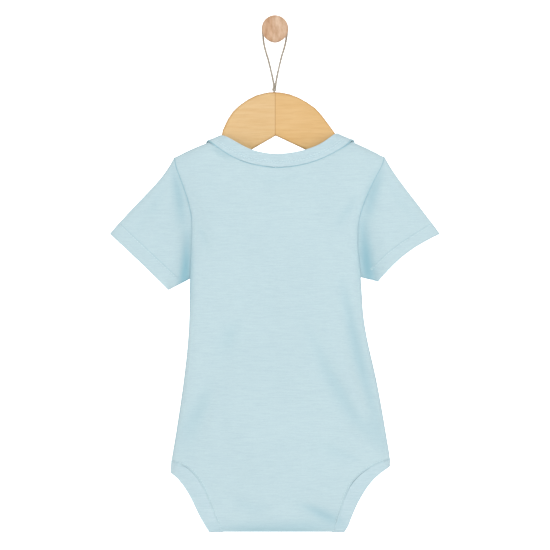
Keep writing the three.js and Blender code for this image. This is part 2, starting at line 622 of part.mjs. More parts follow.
// One strip round a leg opening: the flap's end, the crotch fold, the back, the side, the front, the tab's end
function legBinding(name) {
  const rows = LEG[name];
  const last = rows.at(-1);
  const steps = Array.from({ length: BAND_ACROSS + 1 }, (_, i) => i / BAND_ACROSS);
  const across = (place) => steps.map((t) => place(lerp(last.seamX, last.edgeX, t)));
  const onLeg = (row, face) =>
    steps.map((t) => {
      const z = lerp(row.seamZ, row.edgeZ, t);
      const atSide = row === rows[0];
      const x = atSide ? xAtDepth(SIDES[name], SIDE_SEAM_HALF_GAP, face, z) : lerp(row.seamX, row.edgeX, t);
      return faced(x, z, face);
    });
  const strip = [
    ...FLAP_ROWS.map((z) => across((x) => foldPoint(x, Math.PI, z))),
    ...FOLD_TURNS.map((turn) => across((x) => foldPoint(x, turn))),
    ...[...rows].reverse().map((row) => onLeg(row, -1)),
    ...rows.map((row) => onLeg(row, 1)),
    across((x) => faced(x, TAB_END_Z, 1)),
  ];
  if (name === "right") strip.reverse();
  const grid = strip[0].map((_, i) => strip.map((section) => section[i]));
  return wall(grid, () => BAND_PROUD, () => BAND_PROUD - BAND);
}

// A sleeve: a ring of places at the armhole seam, just off the panels' edges, joined to a flat oval at the cuff
function sleeve(name) {
  const shape = SLEEVE[name];
  const side = SIDES[name];
  const ring = Array.from({ length: 2 * SLEEVE_HALF_RING }, (_, k) => {
    const face = k <= SLEEVE_HALF_RING ? -1 : 1;
    const station = k <= SLEEVE_HALF_RING ? k : 2 * SLEEVE_HALF_RING - k;
    const down = (STATIONS[station] - STATIONS[0]) / (STATIONS[SLEEVE_HALF_RING] - STATIONS[0]);
    const even = (1 - Math.cos((Math.PI * station) / SLEEVE_HALF_RING)) / 2;
    return { face, station, down: lerp(down, even, 0.6) };
  });
  const seam = ring.map(({ face, station }) => {
    const z = STATIONS[station];
    const depth = armholeDepth(z);
    const at = (d) => {
      const x = xAtDepth(side, Math.max(d, 0), face, z);
      return station === 0 ? shellPoint(x, face * 1e-6) : shellPoint(x, arcAt(x, z, face));
    };
    const onSeam = at(depth);
    const beyond = at(Math.max(depth - 0.3, 0)).sub(onSeam);
    if (station === 0) beyond.set(side * 0.9, 0, -0.45);
    if (station === SLEEVE_HALF_RING) beyond.set(side, 0, 0);
    const nearUnderarm = station > SLEEVE_HALF_RING - 3;
    if (nearUnderarm) beyond.setLength(1).setZ(UNDERARM_LIFT);
    const start = onSeam.clone().addScaledVector(beyond.normalize(), nearUnderarm ? UNDERARM_GAP : ARMHOLE_GAP);
    const arc = station === 0 ? 0 : arcAt(onSeam.x, z, face);
    if (z > SHOULDER_END_Z) start.normal = onShell(onSeam.x, arc).normal;
    return start;
  });
  const topLine = new THREE.Vector2(shape.topX - seam[0].x, shape.topZ - seam[0].z).normalize();
  const span = new THREE.Vector2(shape.lowX - shape.topX, shape.lowZ - shape.topZ);
  const rows = SLEEVE_SHARES.map((t) =>
    seam.map((from, k) => {
      const { face, down } = ring[k];
      const squared = Math.sqrt(Math.max(0, 1 - (2 * down - 1) ** 2)) ** (2 / SLEEVE_SQUARE);
      const hollow = shape.cuffHollow * Math.sin(Math.PI * down);
      const cuffX = shape.topX + span.x * down - (side * span.length() * hollow) / 60;
      const cuffZ = shape.topZ + span.y * down + (span.length() * hollow) / 60;
      const bow = shape.bow * 9.48 * t * (1 - t) ** 3 * (1 - down);
      const opened = ease(t * SLEEVE_OPENS_BY + t * t * (1 - SLEEVE_OPENS_BY));
      const depth = lerp(Math.abs(from.y - MIDDLE_Y), SLEEVE_DEPTH * squared, opened);
      if (t === 0) return from;
      return new THREE.Vector3(
        lerp(from.x, cuffX, t) + side * topLine.y * bow,
        MIDDLE_Y + face * depth,
        lerp(from.z, cuffZ, t) - Math.abs(topLine.x) * bow,
      );
    }),
  );
  const proud = SLEEVE_SHARES.map((t) => (t > HEM_STARTS ? HEM_PROUD : 0));
  if (name === "left") {
    rows.reverse();
    proud.reverse();
  }
  return wall(rows, (p, i) => proud[i], (p, i) => -CLOTH - proud[i], true);
}

// Booleans on closed solids
function solidOf(geometry) {
  const bare = geometry.clone().deleteAttribute("normal").deleteAttribute("uv");
  const source = mergeVertices(bare);
  const mesh = new wasm.Mesh({
    numProp: 3,
    vertProperties: new Float32Array(source.attributes.position.array),
    triVerts: new Uint32Array(source.index.array),
  });
  return new wasm.Manifold(mesh);
}
function geometryOf(solid) {
  const mesh = solid.getMesh();
  const geometry = new THREE.BufferGeometry();
  geometry.setAttribute("position", new THREE.BufferAttribute(new Float32Array(mesh.vertProperties), 3));
  geometry.setIndex(Array.from(mesh.triVerts));
  geometry.computeVertexNormals();
  return geometry;
}

// Snaps stand square to the cloth: each is placed by a turn that takes the Y axis onto the shell's normal.
const SNAP_X = [-1, 0, 1].map((i) => SNAP_CENTRE_X + i * SNAP_SPACING);
function atSnap(x, geometry) {
  const seat = faced(x, SNAP_Z, 1);
  const turn = new THREE.Quaternion().setFromUnitVectors(new THREE.Vector3(0, 1, 0), seat.normal);
  return geometry.applyQuaternion(turn).translate(seat.x, seat.y, seat.z);
}

// Holes for the snaps' posts
function punched(geometry) {
  let solid = solidOf(geometry);
  for (const x of SNAP_X) {
    const radius = SNAP_POST_RADIUS + SEAM_GAP;
    const drill = new THREE.CylinderGeometry(radius, radius, 12, 10);
    solid = solid.subtract(solidOf(atSnap(x, drill)));
  }
  return geometryOf(solid);
}

// A snap, fastened: a cap outside the tab, a post, a wider part between tab and flap, a ring inside the flap
function snap(x) {
  const tabOut = SEAM_GAP + SNAP_EASE;
  const tabIn = -CLOTH - SEAM_GAP;
  const flapOut = -FLAP_INSET + SEAM_GAP;
  const flapIn = -FLAP_INSET - CLOTH - SEAM_GAP - SNAP_EASE;
  const profile = [
    [0, flapIn - SNAP_HEIGHT],
    [SNAP_RADIUS - 0.6, flapIn - SNAP_HEIGHT],
    [SNAP_RADIUS - 0.2, flapIn],
    [SNAP_POST_RADIUS, flapIn],
    [SNAP_POST_RADIUS, flapOut],
    [SNAP_RADIUS - 1, flapOut],
    [SNAP_RADIUS - 1, tabIn],
    [SNAP_POST_RADIUS, tabIn],
    [SNAP_POST_RADIUS, tabOut],
    [SNAP_RADIUS, tabOut],
    [SNAP_RADIUS - 0.1, tabOut + SNAP_HEIGHT * 0.6],
    [SNAP_RADIUS - 1, tabOut + SNAP_HEIGHT],
    [0, tabOut + SNAP_HEIGHT],
  ];
  return atSnap(x, turned(profile, 16));
}

// A closed turned solid round the Y axis, from a profile of radius and y that starts and ends on the axis
function turned(profile, segments) {
  const lathe = new THREE.LatheGeometry(profile.map(([radius, y]) => new THREE.Vector2(radius, y)), segments);
  return geometryOf(solidOf(lathe));
}

function pegGeometry() {
  const profile = [[0, -PEG.length]];
  for (let i = 0; i <= 5; i++) {
    const turn = (Math.PI / 2) * (i / 5);
    const radius = PEG.head - PEG.round + PEG.round * Math.sin(turn);
    profile.push([radius, -PEG.length + PEG.round * (1 - Math.cos(turn))]);
  }
  const headBack = -PEG.length + PEG.headLength;
  profile.push([PEG.head, headBack - 0.8], [PEG.head - 0.8, headBack]);
  profile.push([PEG.neck, headBack], [PEG.neck, 0], [0, 0]);
  return turned(profile, 40);
}

function hangerGeometry() {
  const arms = [-1, 1].map((side) => HANGER_TOP.filter((row) => Math.sign(row.x) === side));
  const outline = new THREE.Shape();
  const top = new THREE.SplineCurve(HANGER_DOME.map((row) => new THREE.Vector2(row.x, row.z))).getPoints(20);
  const below = (row) => new THREE.Vector2(row.x, ridgeZ(row.x) - row.below);
  const end = (rows) => rows.map((row) => new THREE.Vector2(row.x, row.z));
  outline.setFromPoints([
    ...arms[0].map(below),
    ...top,
    ...arms[1].map(below),
    ...end(HANGER_END.right),
    new THREE.Vector2(HANGER.centreX, HANGER.notchZ),
    ...end(HANGER_END.left),
  ]);
  const board = new THREE.ExtrudeGeometry(outline, {
    depth: HANGER.thickness - 2 * HANGER.round,
    bevelThickness: HANGER.round,
    bevelSize: HANGER.round,
    bevelOffset: -HANGER.round,
    bevelSegments: 3,
  });
  board.translate(0, 0, -HANGER.thickness / 2 + HANGER.round);
  board.rotateX(Math.PI / 2);
  board.translate(0, MIDDLE_Y, 0);
  const hole = new THREE.CylinderGeometry(TWINE_RADIUS + 0.4, TWINE_RADIUS + 0.4, 2 * HANGER.hole, 12);
  hole.rotateX(Math.PI / 2);
  hole.translate(TWINE.knotX, MIDDLE_Y, TWINE.knotZ);
  return geometryOf(solidOf(board).subtract(solidOf(hole)));
}

// The twine: a loop over the peg's neck, its knot, and its tail in the hanger's hole
function twineGeometry() {
  const round = PEG.neck + TWINE_RADIUS + SEAM_GAP + 0.1;
  const over = Array.from({ length: 13 }, (_, i) => {
    const turn = Math.PI * (1.04 - (1.08 * i) / 12);
    return new THREE.Vector3(round * Math.cos(turn), MIDDLE_Y, round * Math.sin(turn));
  });
  const strand = (rows) => rows.map((row) => new THREE.Vector3(row.x, MIDDLE_Y + row.forward, row.z));
  const path = [...strand(TWINE.left), ...over, ...strand(TWINE.right)];
  const curve = new THREE.CatmullRomCurve3(path, false, "centripetal");
  const loop = solidOf(capped(new THREE.TubeGeometry(curve, 72, TWINE_RADIUS, 8, false), 8));
  const knot = new THREE.SphereGeometry(TWINE.knotRadius, 12, 8);
  knot.translate(TWINE.knotX, MIDDLE_Y, TWINE.knotZ);
  const tail = new THREE.CylinderGeometry(TWINE_RADIUS, TWINE_RADIUS, HANGER.hole - 1, 8);
  tail.rotateX(Math.PI / 2);
  tail.translate(TWINE.knotX, MIDDLE_Y, TWINE.knotZ - (HANGER.hole - 1) / 2);
  return geometryOf(loop.add(solidOf(knot)).add(solidOf(tail)));
}

// Closes both ends of a tube with a fan of triangles.
function capped(tube, sides) {
  const position = tube.attributes.position;
  const ring = sides + 1;
  const last = position.count - ring;
  const index = Array.from(tube.index.array);
  const centre = (start) => {
    const middle = new THREE.Vector3();
    for (let i = 0; i < sides; i++) middle.add(new THREE.Vector3().fromBufferAttribute(position, start + i));
    return middle.divideScalar(sides);
  };
  const centres = [centre(0), centre(last)];
  const points = [...position.array, ...centres.flatMap((p) => [p.x, p.y, p.z])];
  for (let i = 0; i < sides; i++) {
    index.push(position.count, i, i + 1);
    index.push(position.count + 1, last + i + 1, last + i);
  }
  const closed = new THREE.BufferGeometry();
  closed.setAttribute("position", new THREE.Float32BufferAttribute(points, 3));
  closed.setIndex(index);
  return closed;
}

const MATERIALS = {
  jersey: { color: 0xc8dee4, roughness: 0.95 },
  rib: { color: 0xcae1e8, roughness: 0.95 },
  hangerWood: { color: 0xeac38a, roughness: 0.5 },
  pegWood: { color: 0xd9b394, roughness: 0.6 },
  twine: { color: 0xb9ad9c, roughness: 0.95 },
  snap: { color: 0xdfe9ec, roughness: 0.35 },
};
const bodysuit = new THREE.Group();
function add(name, geometry, material) {
  const mesh = new THREE.Mesh(geometry, new THREE.MeshStandardMaterial(MATERIALS[material]));
  mesh.name = name;
  bodysuit.add(mesh);
}

add("back_panel", backPanel(), "jersey");
add("front_panel", frontPanel(), "jersey");
add("sleeve_left", sleeve("left"), "jersey");
add("sleeve_right", sleeve("right"), "jersey");
add("back_neck_band", neckBand(BACK_NECK, BACK_BAND_SHARES, bandRoll), "rib");
add("front_neck_band", neckBand(FRONT_NECK, FRONT_BAND_SHARES, (p) => -lapInset(p.z)), "rib");
add("leg_binding_left", legBinding("left"), "rib");
add("leg_binding_right", legBinding("right"), "rib");
["snap_left", "snap_middle", "snap_right"].forEach((name, i) => add(name, snap(SNAP_X[i]), "snap"));
add("hanger", hangerGeometry(), "hangerWood");
add("twine", twineGeometry(), "twine");
add("wall_peg", pegGeometry(), "pegWood");

export default bodysuit;
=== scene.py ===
"""Looks of a baby bodysuit that hangs on a wooden hanger, whose twine loop goes over a wooden wall peg.
Metres, +Z up, in the frame of the CAD part. The garment's back faces -Y, towards the camera."""
import math

import bmesh
import bpy
import numpy as np
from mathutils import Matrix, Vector
from mathutils.bvhtree import BVHTree


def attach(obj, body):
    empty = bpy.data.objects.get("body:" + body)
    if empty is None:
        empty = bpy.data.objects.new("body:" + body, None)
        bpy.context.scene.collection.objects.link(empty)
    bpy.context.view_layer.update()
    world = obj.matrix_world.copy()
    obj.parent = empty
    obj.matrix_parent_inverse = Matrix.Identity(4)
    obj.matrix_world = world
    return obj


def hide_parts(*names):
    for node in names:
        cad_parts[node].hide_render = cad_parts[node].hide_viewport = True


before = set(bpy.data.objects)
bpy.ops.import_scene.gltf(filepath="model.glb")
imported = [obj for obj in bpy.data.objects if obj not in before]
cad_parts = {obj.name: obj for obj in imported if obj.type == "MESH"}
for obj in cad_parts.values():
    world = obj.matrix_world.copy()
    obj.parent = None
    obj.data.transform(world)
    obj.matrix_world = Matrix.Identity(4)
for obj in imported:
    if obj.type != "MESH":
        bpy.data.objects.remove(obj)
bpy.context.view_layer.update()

MM = 0.001
MIDDLE_Y = -30.0

# The photo's frame: 550 mm across at the garment's middle, seen straight on
VIEW_WIDTH_MM = 550.0
CAMERA_X_MM = 0.0
CAMERA_Z_MM = -245.5
CAMERA_DISTANCE_MM = 3000.0

# Each cloth piece: its CAD node, material slot, the size it is cut to in metres, and its cut's area
CLOTH = [
    {"node": "back_panel", "slot": "jersey", "flat": (0.235, 0.46), "area": 0.0746, "levels": 2},
    {"node": "front_panel", "slot": "jersey", "flat": (0.235, 0.37), "area": 0.0616, "levels": 2},
    {"node": "sleeve_left", "slot": "jersey", "flat": (0.25, 0.105), "area": 0.0129, "levels": 2},
    {"node": "sleeve_right", "slot": "jersey", "flat": (0.25, 0.1), "area": 0.0118, "levels": 2},
    {"node": "back_neck_band", "slot": "rib", "flat": (0.3, 0.014), "area": 0.0040, "levels": 3},
    {"node": "front_neck_band", "slot": "rib", "flat": (0.23, 0.014), "area": 0.0028, "levels": 3},
    {"node": "leg_binding_left", "slot": "rib", "flat": (0.22, 0.014), "area": 0.0029, "levels": 3},
    {"node": "leg_binding_right", "slot": "rib", "flat": (0.22, 0.014), "area": 0.0028, "levels": 3},
]

# Soft creases of the cloth, in mm: a bent line of x and z, how far it spreads, and how far it stands out (or
# in, below zero). Face -1 is the back panel and the sleeves' back, 1 the front, 0 both.
CREASES = [
    {"face": -1, "spread": 7, "height": -2.4, "line": [
        (66, -251), (74, -285), (84, -330), (97, -378), (109, -412)]},
    {"face": -1, "line": [(32, -296), (52, -341), (80, -387), (107, -419)], "spread": 9, "height": -2},
    {"face": -1, "line": [(48, -284), (66, -332), (90, -384)], "spread": 6, "height": 1.8},
    {"face": -1, "line": [(20, -330), (52, -390), (86, -424)], "spread": 9, "height": 1.4},
    {"face": -1, "line": [(-38, -292), (-45, -306), (-52, -322)], "spread": 9, "height": -1.2},
    {"face": -1, "line": [(-39, -264), (-44, -280)], "spread": 6, "height": 1.3},
    {"face": -1, "line": [(-64, -356), (-77, -384), (-90, -412)], "spread": 12, "height": -1.9},
    {"face": -1, "line": [(-52, -352), (-62, -384), (-70, -418)], "spread": 7, "height": 1},
    {"face": -1, "line": [(-81, -167), (-72, -180), (-62, -195), (-50, -212)], "spread": 6, "height": 1.8},
    {"face": -1, "line": [(-80, -192), (-72, -205), (-66, -222)], "spread": 4, "height": -1.1},
    {"face": -1, "line": [(82, -165), (72, -182), (60, -200)], "spread": 6, "height": -1.4},
    {"face": -1, "line": [(24, -474), (40, -480), (55, -487), (66, -491)], "spread": 5.5, "height": -2.8},
    {"face": -1, "line": [(32, -458), (47, -461), (60, -468)], "spread": 5.5, "height": 2},
    {"face": -1, "line": [(-44, -466), (-24, -477), (-2, -480)], "spread": 7, "height": -1.2},
    {"face": -1, "line": [(-70, -440), (-52, -452), (-30, -459)], "spread": 7, "height": 1.4},
    {"face": -1, "line": [(88, -430), (70, -424), (48, -414)], "spread": 7, "height": -1.4},
    {"face": -1, "line": [(-30, -142), (-4, -152), (28, -146)], "spread": 7, "height": -0.8},
    {"face": -1, "line": [(-63, -118), (-54, -124), (-42, -130)], "spread": 3, "height": -2},
    {"face": 1, "line": [(-50, -262), (-72, -330), (-92, -400)], "spread": 7, "height": -2.5},
    {"face": 1, "line": [(40, -300), (70, -360), (102, -420)], "spread": 7, "height": -2.7},
    {"face": 1, "line": [(-20, -290), (-40, -350), (-66, -416)], "spread": 9, "height": 1.8},
    {"face": 1, "line": [(-40, -450), (-6, -466), (30, -470)], "spread": 6, "height": -1.8},
    {"face": 1, "line": [(-70, -185), (-50, -200), (-36, -222)], "spread": 7, "height": 1.6},
    {"face": 1, "line": [(74, -185), (56, -202), (44, -226)], "spread": 7, "height": 1.6},
    {"face": 0, "line": [(-64, -500), (0, -501), (64, -500)], "spread": 10, "height": -3.2},
    {"face": 0, "line": [(-88, -206), (-89, -234), (-91, -262), (-94, -290)], "spread": 7, "height": -5.4},
    {"face": 0, "line": [(-101, -140), (-96, -165), (-91, -200)], "spread": 6, "height": -3},
    {"face": 0, "line": [(-97, -206), (-103, -232), (-108, -252)], "spread": 6, "height": 1.6},
    {"face": 0, "line": [(-112, -156), (-122, -180), (-138, -204)], "spread": 6, "height": -1},
    {"face": 0, "line": [(-126, -186), (-122, -206), (-114, -226)], "spread": 7, "height": 1.1},
    {"face": 0, "line": [(88, -196), (92, -234), (99, -276)], "spread": 8, "height": -4.8},
    {"face": 0, "line": [(107, -138), (97, -165), (90, -194)], "spread": 7, "height": -3.2},
    {"face": 0, "line": [(106, -196), (110, -216), (114, -236)], "spread": 6, "height": 1.6},
    {"face": 0, "line": [(112, -150), (126, -176), (140, -196)], "spread": 6, "height": -1},
    {"face": 0, "line": [(128, -186), (132, -198), (140, -212)], "spread": 7, "height": 1.1},
]

# Stitch rows, in mm: the faces that each lies on (-1 back, 1 front) and a bent line of x and z. Beside a row
# with a ridge, and that far from it, the hem's turned edge shows through the cloth.
STITCHES = [
    {"name": "neck_back_stitch", "faces": [-1], "line": [
        (-62.5, -110.5), (-57, -113.4), (-51.8, -117), (-40.4, -123.7), (-24.3, -130.2), (0, -134.1),
        (24.2, -131.6), (43.4, -126), (58.4, -118.3), (66, -112.5), (70.5, -110)]},
    {"name": "neck_back_stitch_upper", "faces": [-1], "line": [
        (-60.8, -109.1), (-56, -111.6), (-51, -115.2), (-39.6, -122), (-23.7, -128.4), (0, -132.2),
        (23.8, -129.7), (42.4, -124.2), (57.2, -116.6), (64.6, -110.9), (68.6, -108.6)]},
    {"name": "sleeve_hem_left", "faces": [-1, 1], "ridge": (0.9, 0, 0.9), "line": [
        (-154.8, -195.6), (-126, -222.6), (-97.4, -249.4)]},
    {"name": "sleeve_hem_right", "faces": [-1, 1], "ridge": (-0.7, 0, 1.1), "line": [
        (155.4, -195.8), (141, -204.6), (127, -213.6), (112.6, -224.6), (101, -236), (93.8, -243)]},
    {"name": "leg_stitch_left", "faces": [-1, 1], "line": [
        (-96, -432.2), (-88, -434.4), (-79, -442.2), (-71.6, -452.8), (-66, -465), (-61, -478.4),
        (-55, -494.5)]},
    {"name": "leg_stitch_right", "faces": [-1, 1], "line": [
        (108, -430), (100, -432.6), (87.6, -439.2), (76.6, -449.4), (69.5, -462), (64.5, -477.4),
        (59.6, -494.5)]},
    {"name": "neck_front_stitch", "faces": [1], "line": [
        (-60, -145.5), (-49, -153), (-35, -160), (-16.6, -165), (3, -166.4), (22.6, -165), (41, -160),
        (56, -153), (67, -145.5)]},
    {"name": "bottom_hem_front", "faces": [1], "line": [(-48, -492.4), (2, -492.6), (52, -492.4)]},
]

# Seams between sewn pieces, in mm: one piece, its neighbours, how far apart they stand at most, the piece's
# thickness, whether the seam closes on itself, how far its strip goes into each side ("fill") and through the
# cloth ("depth"), and how much shade is painted on it
SEAMS = [
    {"name": "neck_seam_back", "own": "back_neck_band", "others": ["back_panel"],
     "reach": 2.4, "thickness": 2.2, "closed": False, "fill": 0.25, "depth": 0.85, "shade": 0.8},
    {"name": "neck_seam_front", "own": "front_neck_band", "others": ["front_panel"],
     "reach": 1.6, "thickness": 2.2, "closed": False, "fill": 0.25, "depth": 0.85, "shade": 0.8},
    {"name": "leg_seam_left", "own": "leg_binding_left", "others": ["back_panel", "front_panel"],
     "reach": 1.9, "thickness": 2.2, "closed": True, "fill": 0.42, "depth": 1.03, "shade": 0.05},
    {"name": "leg_seam_right", "own": "leg_binding_right", "others": ["back_panel", "front_panel"],
     "reach": 1.9, "thickness": 2.2, "closed": True, "fill": 0.42, "depth": 1.03, "shade": 0.05},
    {"name": "armhole_seam_left", "own": "sleeve_left", "others": ["back_panel", "front_panel"],
     "reach": 2.4, "thickness": 1.2, "closed": True, "fill": 0.25, "depth": 0.45, "shade": 0.85},
    {"name": "armhole_seam_right", "own": "sleeve_right", "others": ["back_panel", "front_panel"],
     "reach": 2.4, "thickness": 1.2, "closed": True, "fill": 0.25, "depth": 0.45, "shade": 0.85},
]

# The deepest that a crease goes, and the depth at which the shade painted into a fold is full, in mm
DEEPEST = 3.4
SHADED_DEPTH = 5.0

# Over this far from the cloth's folded edge the creases fade in, in mm
EDGE_FADE = 6.0

# The most that a full painted shade covers the cloth's own colour
SHADE_STRENGTH = 0.85

# Points closer than this are one point, in metres
WELD_DISTANCE = 2e-6

# Up to this angle between two triangles they are joined into a quad, in degrees
CLOTH_JOIN_ANGLE = 40.0
WOOD_JOIN_ANGLE = 12.0

# Edges sharper than this angle, in degrees, are the cloth's rims, and how sharp they stay when subdivided
RIM_ANGLE = 50
RIM_CREASE = 0.7

# Strips in the seams: steps between two found points, corners of the section, and the half width in mm over
# which a strip has no painted shade
STRIP_STEPS = 5
STRIP_CORNERS = 10
UNSHADED_WIDTH = 1.6

# A longer way than this between two found points of a seam, in mm, starts a new strip
CHAIN_JUMP = 22

# An edge through the cloth's wall is as long as the wall is thick, give or take this share
WALL_TOLERANCE = 0.12

# Stitches and hems, in mm, and how much shade is painted on a hem's turned edge
STITCH_LENGTH = 2.1
STITCH_PITCH = 2.9
THREAD = 0.6
HEM_RIDGE = 0.55
HEM_SUNK = 0.3
HEM_SHADE = 0.2

# From so far off the cloth's middle plane a ray looks for the cloth's face, in mm
RAY_START = 120

# The twine's middle line, in mm, as x and z from the knot up and over the peg and back
TWINE_LEFT = [(-0.9, -59), (-2.2, -49.4), (-6.4, -31.5), (-9.1, -22.5), (-11.4, -12.5)]
TWINE_RIGHT = [(11.1, -10.5), (9.2, -18.8), (6.6, -27.2), (1.9, -47.5), (0.2, -59)]
TWINE_ROUND = 12.4
TWINE_KNOT = (-0.7, -59.9)

# How the strands lie, in mm: how many, how far from the middle, their radius, and the length of one turn
LOOP_STRANDS = {"strands": 3, "offset": 0.55, "radius": 0.62, "twist": 5.5}
KNOT_STRANDS = {"strands": 2, "offset": 0.35, "radius": 0.5, "twist": 4.5}
TAIL_STRANDS = {"strands": 3, "offset": 0.4, "radius": 0.5, "twist": 5.5}

# The knot's three turns, in mm: how steeply each tilts, its height over the knot's middle, and its radius
KNOT_TURNS = [(0.5, 0.7, 1.5), (-0.45, -0.1, 1.7), (0.25, -0.9, 1.4)]
KNOT_STEPS = 24
TAIL_LENGTH = 12

# Steps of the loop's line between two of its given points
LOOP_STEPS = 16


def srgb(r, g, b):
    """8-bit sRGB to the linear values that a shader takes."""
    return tuple(
        (c / 255 / 12.92) if c < 11 else (((c / 255 + 0.055) / 1.055) ** 2.4) for c in (r, g, b)
    ) + (1.0,)


# Materials

def new_material(name, colour, roughness):
    material = bpy.data.materials.new(name)
    material.use_nodes = True
    shader = material.node_tree.nodes["Principled BSDF"]
    shader.inputs["Base Color"].default_value = colour
    shader.inputs["Roughness"].default_value = roughness
    return material, material.node_tree, shader


def stretched(tree, scale):
    """Object coordinates times a scale for each axis."""
    coordinates = tree.nodes.new("ShaderNodeTexCoord")
    mapping = tree.nodes.new("ShaderNodeMapping")
    mapping.inputs["Scale"].default_value = scale
    tree.links.new(coordinates.outputs["Object"], mapping.inputs["Vector"])
    return mapping.outputs["Vector"]


def noise(tree, scale, detail=2.0, rough=0.5):
    made = tree.nodes.new("ShaderNodeTexNoise")
    made.inputs["Scale"].default_value = 1.0
    made.inputs["Detail"].default_value = detail
    made.inputs["Roughness"].default_value = rough
    tree.links.new(stretched(tree, scale), made.inputs["Vector"])
    return made.outputs["Fac"]


def ramp(tree, source, stops):
    made = tree.nodes.new("ShaderNodeValToRGB")
    elements = made.color_ramp.elements
    while len(elements) < len(stops):
        elements.new(0.5)
    for element, (place, colour) in zip(elements, stops):
        element.position = place
        element.color = colour
    tree.links.new(source, made.inputs["Fac"])
    return made.outputs["Color"]


def mix(tree, factor, a, b, kind="MIX"):
    made = tree.nodes.new("ShaderNodeMix")
    made.data_type = "RGBA"
    made.blend_type = kind
    for value, socket in ((factor, made.inputs[0]), (a, made.inputs[6]), (b, made.inputs[7])):
        if isinstance(value, bpy.types.NodeSocket):
            tree.links.new(value, socket)
        else:
            socket.default_value = value
    return made.outputs[2]


def bump(tree, shader, height, strength, distance, below=None):
    made = tree.nodes.new("ShaderNodeBump")
    made.inputs["Strength"].default_value = strength
    made.inputs["Distance"].default_value = distance
    tree.links.new(height, made.inputs["Height"])
    if below is not None:
        tree.links.new(below, made.inputs["Normal"])
    tree.links.new(made.outputs["Normal"], shader.inputs["Normal"])
    return made.outputs["Normal"]


def knit(name, colour, light, dark, wale):
    """Cotton jersey: horizontal slubs, a fine grain, and the columns and rows of its loops, with shade
    painted into its colour where the mesh notes it.
    """
    material, tree, shader = new_material(name, colour, 0.92)
    shader.inputs["Sheen Weight"].default_value = 0.04
    shader.inputs["Sheen Roughness"].default_value = 0.6
    shader.inputs["Specular IOR Level"].default_value = 0.2
    slub = noise(tree, (70, 260, 900), 3.0, 0.6)
    heather = noise(tree, (420, 420, 1500), 2.0, 0.6)
    cloud = noise(tree, (14, 14, 11), 2.0, 0.5)
    base = ramp(tree, slub, [(0.3, dark), (0.5, colour), (0.7, light)])
    fine = ramp(tree, heather, [(0.32, (0.9, 0.92, 0.93, 1)), (0.68, (1, 1, 1, 1))])
    toned = mix(tree, 0.55, base, fine, "MULTIPLY")
    soft = ramp(tree, cloud, [(0.3, (0.965, 0.97, 0.975, 1)), (0.7, (1, 1, 1, 1))])
    even = mix(tree, 0.8, toned, soft, "MULTIPLY")
    # Painted shade: the colour turns towards a darker blue where the mesh notes shade in folds, seams and
    # hems
    shade = tree.nodes.new("ShaderNodeAttribute")
    shade.attribute_name = "painted_shade"
    amount = tree.nodes.new("ShaderNodeMath")
    amount.operation = "MULTIPLY"
    amount.inputs[1].default_value = SHADE_STRENGTH
    tree.links.new(shade.outputs["Fac"], amount.inputs[0])
    tree.links.new(mix(tree, amount.outputs[0], even, PAINTED_SHADE_COLOUR), shader.inputs["Base Color"])
    wave = tree.nodes.new("ShaderNodeTexWave")
    wave.bands_direction = "X"
    wave.inputs["Scale"].default_value = 1.0
    wave.inputs["Distortion"].default_value = 1.2
    wave.inputs["Detail"].default_value = 1.0
    tree.links.new(stretched(tree, (wale, wale, wale * 0.8)), wave.inputs["Vector"])
    first = bump(tree, shader, wave.outputs["Fac"], 0.25, 0.0002)
    bump(tree, shader, slub, 0.28, 0.0003, first)
    return material


def wood(name, dark, mid, light, scale, roughness, coat, fleck):
    material, tree, shader = new_material(name, mid, roughness)
    shader.inputs["Coat Weight"].default_value = coat
    shader.inputs["Coat Roughness"].default_value = 0.35
    grain = noise(tree, scale, 5.0, 0.6)
    pores = noise(tree, tuple(s * 3.4 for s in scale), 3.0, 0.6)
    base = ramp(tree, grain, [(0.3, dark), (0.5, mid), (0.72, light)])
    lines = ramp(tree, pores, [(0.36, (0.86, 0.8, 0.72, 1)), (0.5, (1, 1, 1, 1))])
    tree.links.new(mix(tree, fleck, base, lines, "MULTIPLY"), shader.inputs["Base Color"])
    bump(tree, shader, pores, 0.12, 0.0001)
    return material


# The darker colour of the shade painted into folds, seams and hems
PAINTED_SHADE_COLOUR = srgb(146, 194, 208)
JERSEY = knit("jersey_knit", srgb(203, 226, 232), srgb(206, 229, 234), srgb(198, 222, 229), 1500)
RIB = knit("rib_knit", srgb(203, 226, 233), srgb(208, 230, 236), srgb(197, 222, 229), 1800)
HANGER_WOOD = wood(
    "hanger_varnish", srgb(223, 181, 120), srgb(228, 189, 131), srgb(232, 196, 141), (22, 60, 260),
    roughness=0.5, coat=0.05, fleck=0.25,
)
PEG_WOOD = wood(
    "peg_sanded", srgb(190, 142, 104), srgb(213, 176, 144), srgb(228, 197, 169), (240, 60, 90),
    roughness=0.6, coat=0.0, fleck=0.4,
)


def band_of_x(tree, middle, half_width):
    """1 where the object's x is within half_width of middle, in metres, else 0."""
    coordinates = tree.nodes.new("ShaderNodeTexCoord")
    split = tree.nodes.new("ShaderNodeSeparateXYZ")
    tree.links.new(coordinates.outputs["Object"], split.inputs[0])
    compare = tree.nodes.new("ShaderNodeMath")
    compare.operation = "COMPARE"
    tree.links.new(split.outputs["X"], compare.inputs[0])
    compare.inputs[1].default_value = middle
    compare.inputs[2].default_value = half_width
    return compare.outputs[0]


def over_colour(material, factor, colour, kind="MULTIPLY"):
    """Lays a colour over a material's own where factor is 1."""
    tree = material.node_tree
    socket = tree.nodes["Principled BSDF"].inputs["Base Color"]
    own = socket.links[0].from_socket
    tree.links.new(mix(tree, factor, own, colour, kind), socket)
